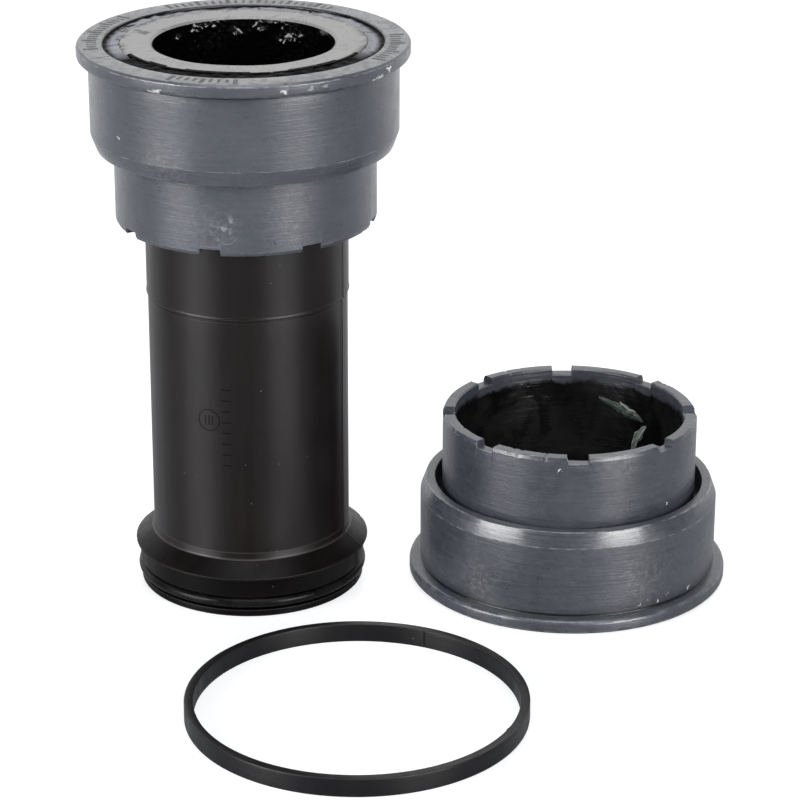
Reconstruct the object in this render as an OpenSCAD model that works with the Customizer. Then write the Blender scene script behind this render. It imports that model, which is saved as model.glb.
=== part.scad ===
// Press-fit bottom bracket set for a 24 mm crank spindle and a 41 mm frame shell.
// The left cup stands on the inner sleeve, flange up. The right cup stands beside
// it on its flange, and the shell spacer lies flat in front of both.
// Origin: the sleeve's axis on the surface that the set stands on. +Z is up.

/* [Cup body] */
// Diameter of the pressed body, the bore of the frame shell
body_d = 41; // [40:0.1:52]
// Length of the pressed body, from the relief groove to the nose taper
body_l = 9.6; // [6:0.1:16]
// Diameter of the flange
flange_d = 44; // [43:0.1:56]
// Thickness of the flange
flange_t = 1.9; // [1.2:0.1:4]
// Bevel around the flange's outer face
flange_bevel = 0.35; // [0.1:0.05:0.8]
// Depth of the relief groove at the flange's root, on the radius
relief_d = 0.2; // [0.05:0.05:0.5]
// Width of the relief groove at the flange's root
relief_w = 0.4; // [0.2:0.05:1]
// Length of the taper that leads the body into the shell
nose_l = 2.1; // [1:0.1:4]
// How far the taper goes in, on the radius
nose_in = 0.75; // [0.3:0.05:1]
// Width of the flat rim at the end of the body
rim_w = 1.3; // [0.8:0.05:1.6]
// Depth of the ring gap behind the rim
gap_depth = 4.5; // [2:0.1:5]

/* [Notched ring] */
// Inside diameter of the ring, which holds the sleeve
ring_id = 31.6; // [31.4:0.1:36]
// Wall of the ring
ring_wall = 1.7; // [1.2:0.1:1.9]
// How far the left cup's ring stands past the end of its body
left_ring_out = 10.2; // [5:0.1:20]
// How far the right cup's ring stands past the end of its body
right_ring_out = 9.7; // [5:0.1:20]
// Bevel around the outside of the ring's end
ring_bevel = 0.5; // [0.2:0.05:0.8]
// Number of notches in the ring's end
notch_count = 8; // [4:1:12]
// Width of one notch
notch_w = 2.8; // [1.5:0.1:5]
// Depth of one notch
notch_depth = 0.9; // [0.4:0.1:2]
// Thickness of the web between the bearing and the sleeve
web_t = 1.3; // [0.8:0.1:3]
// Hole through that web
web_hole_d = 29.2; // [28.8:0.1:31]

/* [Bearing] */
// Outside diameter of the bearing
bearing_od = 37; // [37:0.1:38]
// Bore of the bearing
bearing_id = 25; // [24.6:0.1:25.4]
// Width of the bearing
bearing_w = 7; // [6.4:0.1:9]
// How deep the bearing sits below the flange's face
bearing_recess = 0.8; // [0.5:0.05:2]
// Wall of each race at its shoulders
race_wall = 1.7; // [1.5:0.05:1.9]
// Diameter of one ball
ball_d = 3.5; // [3:0.05:3.8]
// Number of balls
ball_count = 15; // [9:1:16]
// Thickness of each rubber seal
seal_t = 0.6; // [0.4:0.05:0.8]
// Depth of the recess in the outer race that holds a seal
seal_recess = 1; // [0.9:0.05:1.2]
// How far a seal reaches into the outer race's wall
seal_bite = 0.6; // [0.3:0.05:0.9]
// Wall of the ball cage, on the radius
cage_wall = 1.7; // [1.2:0.1:2]
// How far the cage reaches behind the balls' centres
cage_back = 2.2; // [2:0.05:2.3]
// How far the cage's fingers reach in front of the balls' centres
cage_front = 0.9; // [0.5:0.05:1.4]

/* [Dust cover] */
// Bore of the cover, which takes the 24 mm crank spindle
cover_id = 24.05; // [24.02:0.01:24.2]
// Diameter of the cover's flange
cover_d = 32.6; // [30:0.1:35]
// How far the cover's face lies below the cup's face
cover_recess = 0.1; // [0.05:0.05:0.3]
// Length of the cover's barrel inside the bearing
barrel_l = 6.8; // [4:0.1:7]
// Bevel at the mouth of the cover's bore
cover_bevel = 0.35; // [0.1:0.05:0.5]

/* [Sleeve] */
// Length of the sleeve
sleeve_l = 66.9; // [50:0.1:90]
// Bore of the sleeve
sleeve_id = 24.7; // [24.2:0.1:25.6]
// Wall of the sleeve's tube
sleeve_wall = 1.2; // [0.8:0.05:1.6]
// Height of the fine step around the tube
step_z = 42; // [20:0.5:50]
// How far the tube stands out above that step, on the radius
step_out = 0.15; // [0.05:0.05:0.3]
// Clearance of the collars inside the cup's ring, on the radius
collar_gap = 0.25; // [0.15:0.05:0.4]
// Height of the lip at each end of the sleeve
lip_h = 1; // [0.6:0.1:1.5]
// How far that lip lies inside the collar, on the radius
lip_in = 0.15; // [0.05:0.05:0.4]
// Height of the plain land between the O-ring groove and the cone
land_h = 2.6; // [1.5:0.1:4]
// How far the foot's rim stands out from the land, on the radius
rim_out = 0.55; // [0.3:0.05:0.9]
// Height of the foot's rim
rim_h = 0.25; // [0.15:0.05:0.6]
// Height of the cone above the rim
cone_h = 1.9; // [1:0.1:4]

/* [O-rings] */
// Thickness of an O-ring
oring_t = 1.4; // [1.2:0.05:1.6]
// Height of the groove that holds an O-ring
oring_groove_h = 2; // [1.8:0.05:2.4]

/* [Spacer] */
// Outside diameter of the shell spacer
spacer_od = 44; // [43.5:0.1:56]
// How much wider its bore is than the cup's body, on the radius
spacer_gap = 0.3; // [0.1:0.05:0.45]
// Height of the shell spacer
spacer_h = 2.5; // [1:0.5:5]

/* [Layout] */
// Turn of the left cup's notches
left_turn = 31.8; // [0:0.1:45]
// Turn of the right cup's notches
right_turn = 1; // [0:0.1:45]
// Space between the right cup's flange and the sleeve's foot, seen from above
right_space = 5.9; // [2:0.1:60]
// Turn of the right cup's place around the sleeve
right_place = 1.6; // [-30:0.1:30]
// Space between the spacer and the sleeve's foot, seen from above
spacer_space = 8.1; // [2:0.1:60]
// Turn of the spacer's place around the sleeve
spacer_place = -70.75; // [-120:0.25:-60]

/* [Fits] */
// Gap at a pressed seat, on the radius
press_gap = 0.01; // [0.005:0.005:0.02]
// Running gap between a ball and its race
ball_gap = 0.02; // [0.01:0.005:0.05]
// Running gap between a ball and its cage pocket
pocket_gap = 0.1; // [0.05:0.05:0.2]
// Running gap between a seal's lip and the inner race
lip_gap = 0.08; // [0.03:0.01:0.1]
// Gap between an O-ring and what it touches
oring_gap = 0.03; // [0.01:0.01:0.05]
// Gap between the sleeve's upper end and the cup's web
seat_gap = 0.05; // [0.02:0.01:0.1]

/* [Hidden] */
$fn = 144;
// Conformity of a race's ball groove: its radius over the ball's radius
GROOVE_CONFORMITY = 1.04;
// Bevel of small moulded and ground edges
edge = 0.2;
// How far a cutting shape runs past the face it cuts
past = 1;

// Cup, measured inwards from the flange's outer face
body_r = body_d / 2;
flange_r = flange_d / 2;
nose_z = flange_t + relief_w + body_l;
rim_z = nose_z + nose_l;
rim_r = body_r - nose_in;
gap_floor_z = rim_z - gap_depth;
ring_r = ring_id / 2;
ring_outer_r = ring_r + ring_wall;
left_cup_h = rim_z + left_ring_out;
right_cup_h = rim_z + right_ring_out;
pocket_r = bearing_od / 2 + press_gap;
pocket_z = bearing_recess + bearing_w;
shoulder_r = bearing_od / 2 - race_wall + seal_bite;
shoulder_h = 0.4;
web_z = pocket_z + shoulder_h + web_t;

// Bearing, measured from its middle plane
half_w = bearing_w / 2;
pitch_r = (bearing_od + bearing_id) / 4;
outer_shoulder_r = bearing_od / 2 - race_wall;
inner_shoulder_r = bearing_id / 2 + race_wall;
groove_r = GROOVE_CONFORMITY * ball_d / 2;
groove_shift = groove_r - ball_d / 2 - ball_gap;
seat_r = outer_shoulder_r + seal_bite;
seal_z = half_w - seal_recess + press_gap;

// Sleeve
tube_r = sleeve_id / 2 + sleeve_wall;
collar_r = ring_r - collar_gap;
lip_r = collar_r - lip_in;
rim_out_r = collar_r + rim_out;
oring_r = ring_r - oring_gap - oring_t / 2;
oring_floor_r = oring_r - oring_t / 2 - oring_gap;
land_z = lip_h + oring_groove_h;
cone_z = land_z + land_h + rim_h;
oring_z = lip_h + oring_groove_h / 2;

// Places in the set
left_face_z = sleeve_l + seat_gap + web_z;
right_away = rim_out_r + right_space + flange_r;
spacer_r = spacer_od / 2;
spacer_bore_r = body_r + spacer_gap;
spacer_away = rim_out_r + spacer_space + spacer_r;

NYLON = "slategray";
COVER = "darkgray";
STEEL = "silver";
RUBBER = "black";
SLEEVE = "dimgray";
CAGE = "tan";

// A round solid turned from an outline of [radius, height] points
module turned(outline) {
    rotate_extrude()
        polygon(outline);
}

// The left cup hangs over the sleeve with its flange's face up
module at_left() {
    translate([0, 0, left_face_z])
        rotate([0, 0, left_turn])
            rotate([180, 0, 0])
                children();
}

// The right cup stands on its flange beside the sleeve
module at_right() {
    rotate([0, 0, right_place])
        translate([right_away, 0, 0])
            rotate([0, 0, right_turn - right_place])
                children();
}

// The bearing's middle plane, in the cup
module at_bearing() {
    translate([0, 0, bearing_recess + half_w])
        children();
}

// Cup of height h: flange, pressed body, tapered nose, ring gap, ring and bearing pocket
module cup_shell(h) {
    color(NYLON)
        difference() {
            rotate_extrude()
                cup_section(h);
            notches(h);
        }
}

// Half section of the cup: the body and the ring's boss, bored from both ends
module cup_section(h) {
    difference() {
        union() {
            body_section();
            ring_section(h);
        }
        ring_bore_section(h);
        pocket_section();
    }
}

// Flange, relief groove, body and nose, sunk inside the rim for the ring gap
module body_section() {
    difference() {
        polygon([
            [0, 0],
            [flange_r - flange_bevel, 0],
            [flange_r, flange_bevel],
            [flange_r, flange_t],
            [body_r - relief_d, flange_t],
            [body_r - relief_d, flange_t + relief_w],
            [body_r, flange_t + relief_w],
            [body_r, nose_z],
            [rim_r, rim_z],
            [0, rim_z]
        ]);
        translate([0, gap_floor_z])
            square([rim_r - rim_w, gap_depth + past]);
    }
}

// Boss of the ring, with the bevel around its end
module ring_section(h) {
    polygon([
        [0, pocket_z],
        [ring_outer_r, pocket_z],
        [ring_outer_r, h - ring_bevel],
        [ring_outer_r - ring_bevel / 2, h],
        [0, h]
    ]);
}

// Bore of the ring, down to the web, with a bevelled mouth
module ring_bore_section(h) {
    polygon([
        [0, web_z],
        [ring_r, web_z],
        [ring_r, h - edge],
        [ring_r + edge + past, h + past],
        [0, h + past]
    ]);
}

// Pocket of the bearing, its shoulder and the hole through the web
module pocket_section() {
    polygon([
        [0, -past],
        [pocket_r + edge + past, -past],
        [pocket_r, edge],
        [pocket_r, pocket_z],
        [shoulder_r, pocket_z],
        [shoulder_r, pocket_z + shoulder_h],
        [web_hole_d / 2, pocket_z + shoulder_h],
        [web_hole_d / 2, web_z + past],
        [0, web_z + past]
    ]);
}

// The notches in the end of the ring
module notches(h) {
    for (i = [0 : notch_count - 1])
        rotate([0, 0, i * 360 / notch_count])
            translate([ring_r - past, -notch_w / 2, h - notch_depth])
                cube([ring_wall + 2 * past, notch_w, notch_depth + past]);
}

// Outer race, with a ball groove and a recess for each seal
module outer_race() {
    color(STEEL)
        rotate_extrude()
            difference() {
                polygon([
                    [outer_shoulder_r, seal_recess - half_w],
                    [seat_r, seal_recess - half_w],
                    [seat_r, -half_w],
                    [bearing_od / 2 - edge, -half_w],
                    [bearing_od / 2, edge - half_w],
                    [bearing_od / 2, half_w - edge],
                    [bearing_od / 2 - edge, half_w],
                    [seat_r, half_w],
                    [seat_r, half_w - seal_recess],
                    [outer_shoulder_r, half_w - seal_recess]
                ]);
                translate([pitch_r - groove_shift, 0])
                    circle(r = groove_r);
            }
}

// Inner race, with a ball groove
module inner_race() {
    color(STEEL)
        rotate_extrude()
            difference() {
                polygon([
                    [bearing_id / 2, edge - half_w],
                    [bearing_id / 2 + edge, -half_w],
                    [inner_shoulder_r, -half_w],
                    [inner_shoulder_r, half_w],
                    [bearing_id / 2 + edge, half_w],
                    [bearing_id / 2, half_w - edge]
                ]);
                translate([pitch_r + groove_shift, 0])
                    circle(r = groove_r);
            }
}

// Places a shape at each ball's centre
module at_balls() {
    for (i = [0 : ball_count - 1])
        rotate([0, 0, i * 360 / ball_count])
            translate([pitch_r, 0, 0])
                children();
}

module balls() {
    color(STEEL)
        at_balls()
            sphere(d = ball_d);
}

// Crown cage: a ring whose open pockets snap over the balls
module ball_cage() {
    color(CAGE)
        difference() {
            turned([
                [pitch_r - cage_wall / 2, -cage_back],
                [pitch_r + cage_wall / 2, -cage_back],
                [pitch_r + cage_wall / 2, cage_front],
                [pitch_r - cage_wall / 2, cage_front]
            ]);
            at_balls()
                sphere(r = ball_d / 2 + pocket_gap);
        }
}

// Lip seal held in the outer race's recess, on the side that z grows towards
module lip_seal() {
    color(RUBBER)
        turned([
            [inner_shoulder_r + lip_gap, seal_z],
            [seat_r - press_gap, seal_z],
            [seat_r - press_gap, seal_z + seal_t],
            [inner_shoulder_r + lip_gap + edge, seal_z + seal_t],
            [inner_shoulder_r + lip_gap, seal_z + seal_t - edge]
        ]);
}

// Seal on the side of the flange
module outer_seal() {
    mirror([0, 0, 1])
        lip_seal();
}

// Seal on the side of the sleeve
module inner_seal() {
    lip_seal();
}

// Top-hat cover: its barrel lines the bearing's bore and its flange shields the seal
module dust_cover() {
    color(COVER)
        turned([
            [cover_id / 2 + cover_bevel, cover_recess],
            [cover_d / 2 - edge, cover_recess],
            [cover_d / 2, cover_recess + edge],
            [cover_d / 2, bearing_recess],
            [bearing_id / 2 - press_gap, bearing_recess],
            [bearing_id / 2 - press_gap, bearing_recess + barrel_l],
            [cover_id / 2, bearing_recess + barrel_l],
            [cover_id / 2, cover_recess + cover_bevel]
        ]);
}

// Inner sleeve: a stepped tube with a grooved collar at each end
module sleeve_tube() {
    top_land_z = sleeve_l - land_z;
    color(SLEEVE)
        turned([
            [sleeve_id / 2, 0],
            [lip_r - edge, 0],
            [lip_r, edge],
            [lip_r, lip_h],
            [oring_floor_r, lip_h],
            [oring_floor_r, land_z],
            [collar_r, land_z],
            [collar_r, land_z + land_h],
            [rim_out_r, land_z + land_h],
            [rim_out_r, cone_z],
            [tube_r + edge, cone_z + cone_h],
            [tube_r, cone_z + cone_h + edge],
            [tube_r, step_z],
            [tube_r + step_out, step_z + step_out],
            [tube_r + step_out, top_land_z - land_h - cone_h],
            [collar_r, top_land_z - land_h],
            [collar_r, top_land_z],
            [oring_floor_r, top_land_z],
            [oring_floor_r, sleeve_l - lip_h],
            [lip_r, sleeve_l - lip_h],
            [lip_r, sleeve_l - edge],
            [lip_r - edge, sleeve_l],
            [sleeve_id / 2, sleeve_l]
        ]);
}

// O-ring centred at a given height
module oring(z) {
    color(RUBBER)
        translate([0, 0, z])
            rotate_extrude()
                translate([oring_r, 0])
                    circle(d = oring_t);
}

// Spacer ring that makes a narrow shell as wide as the wide one
module spacer() {
    color(RUBBER)
        turned([
            [spacer_bore_r, 0],
            [spacer_r - edge, 0],
            [spacer_r, edge],
            [spacer_r, spacer_h - edge],
            [spacer_r - edge, spacer_h],
            [spacer_bore_r, spacer_h]
        ]);
}

module at_spacer() {
    rotate([0, 0, spacer_place])
        translate([spacer_away, 0, 0])
            children();
}

at_left() cup_shell(left_cup_h);  // left_cup_shell
at_left() at_bearing() outer_race();  // left_outer_race
at_left() at_bearing() inner_race();  // left_inner_race
at_left() at_bearing() balls();  // left_balls
at_left() at_bearing() ball_cage();  // left_ball_cage
at_left() at_bearing() outer_seal();  // left_outer_seal
at_left() at_bearing() inner_seal();  // left_inner_seal
at_left() dust_cover();  // left_dust_cover
sleeve_tube();
oring(oring_z);  // sleeve_lower_oring
oring(sleeve_l - oring_z);  // sleeve_upper_oring
at_right() cup_shell(right_cup_h);  // right_cup_shell
at_right() at_bearing() outer_race();  // right_outer_race
at_right() at_bearing() inner_race();  // right_inner_race
at_right() at_bearing() balls();  // right_balls
at_right() at_bearing() ball_cage();  // right_ball_cage
at_right() at_bearing() outer_seal();  // right_outer_seal
at_right() at_bearing() inner_seal();  // right_inner_seal
at_right() dust_cover();  // right_dust_cover
at_spacer() spacer();  // spacer_ring
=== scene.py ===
"""Looks of a press-fit bottom bracket set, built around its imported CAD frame."""

import math

import bpy
import numpy as np
from mathutils import Matrix, Vector


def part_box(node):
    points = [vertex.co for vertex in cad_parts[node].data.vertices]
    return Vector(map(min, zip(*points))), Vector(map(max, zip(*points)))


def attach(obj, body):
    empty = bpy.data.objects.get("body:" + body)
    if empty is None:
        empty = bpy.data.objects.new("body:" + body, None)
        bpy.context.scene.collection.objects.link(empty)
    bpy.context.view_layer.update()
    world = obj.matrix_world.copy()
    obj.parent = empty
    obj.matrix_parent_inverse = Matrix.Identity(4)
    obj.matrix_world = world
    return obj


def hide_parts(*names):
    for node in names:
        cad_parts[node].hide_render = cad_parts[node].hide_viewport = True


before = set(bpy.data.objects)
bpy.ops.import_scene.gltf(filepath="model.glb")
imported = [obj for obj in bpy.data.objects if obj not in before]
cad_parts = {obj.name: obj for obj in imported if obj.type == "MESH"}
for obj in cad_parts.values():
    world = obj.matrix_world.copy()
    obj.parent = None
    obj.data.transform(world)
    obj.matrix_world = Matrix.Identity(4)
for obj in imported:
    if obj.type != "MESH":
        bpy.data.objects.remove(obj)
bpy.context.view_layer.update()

MM = 0.001
TAU = 2 * math.pi
SHARP_ANGLE = 35               # in degrees
LONGEST_FILLET = 0.45          # a fillet takes at most this share of a side
NO_FILLET = 1e-4

# ---------------------------------------------------------------- sizes, in millimetres
BODY_R = 20.5
FLANGE_R = 22.0
FLANGE_T = 1.9
FLANGE_BEVEL = 0.35
RELIEF = (0.1, 0.4)            # depth on the radius, width
NOSE_Z = 11.9
RIM_Z = 14.0
RIM_R = 19.75
RIM_W = 1.3
GAP_FLOOR_Z = 9.5
RING_R = 15.8
RING_OUTER_R = 17.5
RING_BEVEL = 0.5
NOTCHES = 8
NOTCH_W = 2.8
NOTCH_DEPTH = 0.9
POCKET_R = 18.51
POCKET_Z = 7.8
SHOULDER_R = 17.4
SHOULDER_H = 0.4
WEB_Z = 9.5
WEB_R = 14.6
GREASE_AND_SHADE_START = 2.4             # how far below the ring's end its wall turns black, with grease and painted shade
FACE_SINK = 0.02               # the marks lie in this sliver below the flange's face
BEARING_RECESS = 0.8
COVER_R = 16.3
COVER_BORE_R = 12.025
COVER_RECESS = 0.1
BARREL_R = 12.49
BARREL_END = 7.6
COVER_BEVEL = 0.35
SMEAR_R = 15.5                 # the black smear on the cover begins about here
SLEEVE_L = 66.9
SLEEVE_BORE_R = 12.35
TUBE_R = 13.55
STEP_Z = 42.0
STEP_OUT = 0.15
COLLAR_R = 15.55
LIP_R = 15.4
LIP_H = 1.0
LAND = (3.0, 5.6)
RIM_OUT_R = 16.1
CONE = (5.85, 7.75)
ORING_FLOOR_R = 14.34
SPACER_R = 22.0
SPACER_BORE_R = 20.8
SPACER_H = 2.5
SPACER_LINE = 0.06             # depth of the two lines in its bore
SPACER_LINES = (65.3, 147.7)   # where they are, in degrees around +Z from +X
SPACER_NUB = -25.0             # and the moulding nub
LEFT_TURN = 31.8               # how far each cup is turned around its axis
RIGHT_TURN = 1.0
PARTING_TURN = -19.0           # where the sleeve's parting line runs
CUP_INSET = 0.012              # how far a visual surface lies inside its CAD surface
COVER_DIP = 0.03
SLEEVE_INSET = 0.035
SPACER_INSET = 0.01
NOTCH_FOOT = 2.6               # how far below the ring's end the notches' columns begin to shorten
BURR = 0.05                    # height of the burr along a notch's edge
SEAM_DEPTH = 0.06              # the sleeve's parting line, and the raised strips beside it
STRIP_RISE = 0.03
NUB_RISE = 0.09
MARK_SINK = 0.2                # how far the sleeve's mark reaches into the wall
GREASE_FILM = 0.03             # least thickness of the grease in a bore
GROOVE_CROWN = (0.24, 0.36)    # how far below the face the groove's grease ends, at the cover and at the wall
THIN_SINK = 0.35               # how much deeper it lies at the wall where it is thin
GREASE_BASE = 0.97             # the groove's grease reaches down to the bearing here
THIN_MIDDLE = -60              # the groove's grease lies thin, painted grey with its sheen, to both sides of this angle
THIN_REACH = 120
THIN_FADE = 14

# Plain graduations: arcs of ticks as (middle, spread) in degrees, and a score (angle, inner, outer, half width)
TICK_ARCS = ((43, 38), (135, 26), (222, 48), (303, 68))
TICK_STEP = 3
TICKS_PER_LONG = 4
TICK_INNER_R = 19.3
TICK = (20.6, 0.2)             # outer radius, half width
LONG_TICK = (21.2, 0.28)
SCORE = (185.3, 18.8, 21.6, 0.05)

# The sleeve's mark: (azimuth, height) of the ring and of the top short bar
RING_PLACE = (-111, 27.7)
RING_MARK_R = 1.5
RING_SIDES = 16
RING_BAR = (0.5, 0.7, 0.07)    # spacing, half length and half width of the bars in the ring
SHORT_BARS_PLACE = (-100.5, 32.2)
SHORT_BARS = 8
SHORT_BAR = (1.55, 0.65, 0.09)

# Columns of points round each turned mesh
CUP_COLUMNS = 640
GROOVE_COLUMNS = 540
COVER_COLUMNS = 512
BORE_COLUMNS = 420
SLEEVE_COLUMNS = 480
SPACER_COLUMNS = 560


# ---------------------------------------------------------------- mesh tools
def rounded(corners, steps=4):
    """Closed outline through corners (r, z, fillet radius), each rounded.

    Gives the points, and for each how far it is round its fillet's middle, from 0 to 1.
    """
    points, on_fillet = [], []
    for i, (r, z, fillet) in enumerate(corners):
        corner = Vector((r, z))
        back = Vector(corners[i - 1][:2]) - corner
        ahead = Vector(corners[(i + 1) % len(corners)][:2]) - corner
        half = back.angle(ahead) / 2
        reach = min(fillet / math.tan(half), LONGEST_FILLET * min(back.length, ahead.length))
        if reach < NO_FILLET:
            points.append((r, z))
            on_fillet.append(0.0)
            continue
        radius = reach * math.tan(half)
        centre = corner + (back.normalized() + ahead.normalized()).normalized() * radius / math.sin(half)
        start = corner + back.normalized() * reach - centre
        end = corner + ahead.normalized() * reach - centre
        turn = math.atan2(start.cross(end), start.dot(end))
        for k in range(steps + 1):
            c, s = math.cos(turn * k / steps), math.sin(turn * k / steps)
            points.append((centre.x + c * start.x - s * start.y, centre.y + s * start.x + c * start.y))
            on_fillet.append(math.sin(math.pi * k / steps))
    return np.array(points), np.array(on_fillet)


def divided(points, flags, longest):
    """The outline with its long stretches split, so that no stretch is longer than that."""
    out, marks = [], []
    for i in range(len(points)):
        a, b = points[i], points[(i + 1) % len(points)]
        parts = max(1, math.ceil(np.linalg.norm(b - a) / longest))
        for k in range(parts):
            out.append(a + (b - a) * k / parts)
            marks.append(flags[i] if k == 0 else 0.0)
    return np.array(out), np.array(marks)


def mesh_object(name, verts, faces, attributes=None):
    mesh = bpy.data.meshes.new(name)
    mesh.from_pydata(verts, [], faces)
    mesh.validate()
    for key, values in (attributes or {}).items():
        layer = mesh.attributes.new(key, "FLOAT", "POINT")
        layer.data.foreach_set("value", np.asarray(values, np.float32).ravel())
    mesh.shade_smooth()
    mesh.set_sharp_from_angle(angle=math.radians(SHARP_ANGLE))
    obj = bpy.data.objects.new(name, mesh)
    bpy.context.scene.collection.objects.link(obj)
    return obj


def lathe(name, outline, angles, warp, attributes=None):
    """Ring-shaped solid: the closed outline (r, z) in mm turned through all angles.

    warp(theta, r, z) gives the moved points and any attributes of its own.
    """
    r, z = outline[:, 0], outline[:, 1]
    if np.sum(r * np.roll(z, -1) - np.roll(r, -1) * z) < 0:
        r, z = r[::-1], z[::-1]
        attributes = {k: v[::-1] for k, v in (attributes or {}).items()}
    rows, cols = len(r), len(angles)
    theta = np.repeat(np.asarray(angles)[:, None], rows, 1)
    rr, zz = np.tile(r, (cols, 1)), np.tile(z, (cols, 1))
    theta, rr, zz, extra = warp(theta, rr, zz)
    verts = np.stack([rr * np.cos(theta), rr * np.sin(theta), zz], -1).reshape(-1, 3) * MM
    i, j = np.meshgrid(np.arange(cols), np.arange(rows), indexing="ij")
    i2, j2 = (i + 1) % cols, (j + 1) % rows
    faces = np.stack([i * rows + j, i2 * rows + j, i2 * rows + j2, i * rows + j2], -1).reshape(-1, 4)
    values = {k: np.tile(v, (cols, 1)) for k, v in (attributes or {}).items()}
    values.update(extra)
    obj = mesh_object(name, verts.tolist(), faces.tolist(), values)
    weighted = obj.modifiers.new("weighted_normals", "WEIGHTED_NORMAL")
    weighted.keep_sharp = True
    return obj


def even_angles(count):
    return np.arange(count) * TAU / count


def waves(seed, count, lowest, highest, rise=0.0):
    """A smooth random field over angle and height: field(theta, z) with values of about -1 to 1."""
    rng = np.random.RandomState(seed)
    turns = rng.randint(lowest, highest + 1, count)
    climbs = rng.uniform(-rise, rise, count)
    shifts = rng.uniform(0, TAU, count)
    sizes = rng.uniform(0.5, 1.0, count)

    def field(theta, z=0.0):
        total = sum(a * np.cos(k * theta + q * z + p) for k, q, p, a in zip(turns, climbs, shifts, sizes))
        return total / math.sqrt(count * 0.3)

    return field


def turned_from(theta, at):
    """Signed angle in radians from a direction given in degrees."""
    return np.angle(np.exp(1j * (theta - math.radians(at))))


def bell(off, width):
    """1 where off is 0, falling smoothly to 0 over about twice the width."""
    return np.exp(-((off / width) ** 2))


def dents(theta, places):
    """Sum of smooth dents, each (angle in degrees, width in degrees, depth)."""
    total = np.zeros_like(theta)
    for at, width, depth in places:
        total += depth * bell(np.degrees(turned_from(theta, at)), width)
    return total


def some_dents(seed, count, width, depth):
    rng = np.random.RandomState(seed)
    return [(rng.uniform(0, 360), rng.uniform(*width), rng.uniform(*depth)) for _ in range(count)]


def polar(azimuth, radius, height):
    """Point in millimetres from a piece's own axis at floor level, with the azimuth in degrees from +X."""
    a = math.radians(azimuth)
    return radius * math.cos(a), radius * math.sin(a), height


def bar_faces(first):
    """Faces of a bar whose four lower and four upper corners start at this vertex."""
    sides = [(k, (k + 1) % 4, 4 + (k + 1) % 4, 4 + k) for k in range(4)]
    return [tuple(first + v for v in face) for face in [(3, 2, 1, 0), (4, 5, 6, 7)] + sides]


def placed(obj, axis, pose, body, finishes, replaces=()):
    """Pose a mesh, with its origin on the piece's axis at floor level, and give it its body and materials."""
    obj.data.transform(pose)
    obj.location = (axis.x, axis.y, 0)
    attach(obj, body)
    if replaces:
        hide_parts(*replaces)
    for finish in finishes:
        obj.data.materials.append(finish)
    return obj


def refinish(node, finish):
    """Give a CAD node's object another material."""
    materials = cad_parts[node].data.materials
    materials.clear()
    materials.append(finish)


# ---------------------------------------------------------------- material tools
def shade(colour):
    """Screen values from 0 to 255 as a linear colour with an alpha of 1. A socket stays as it is."""
    if not isinstance(colour, tuple):
        return colour
    linear = (((c / 255 + 0.055) / 1.055) ** 2.4 if c > 10 else c / 255 / 12.92 for c in colour)
    return (*linear, 1)


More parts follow.
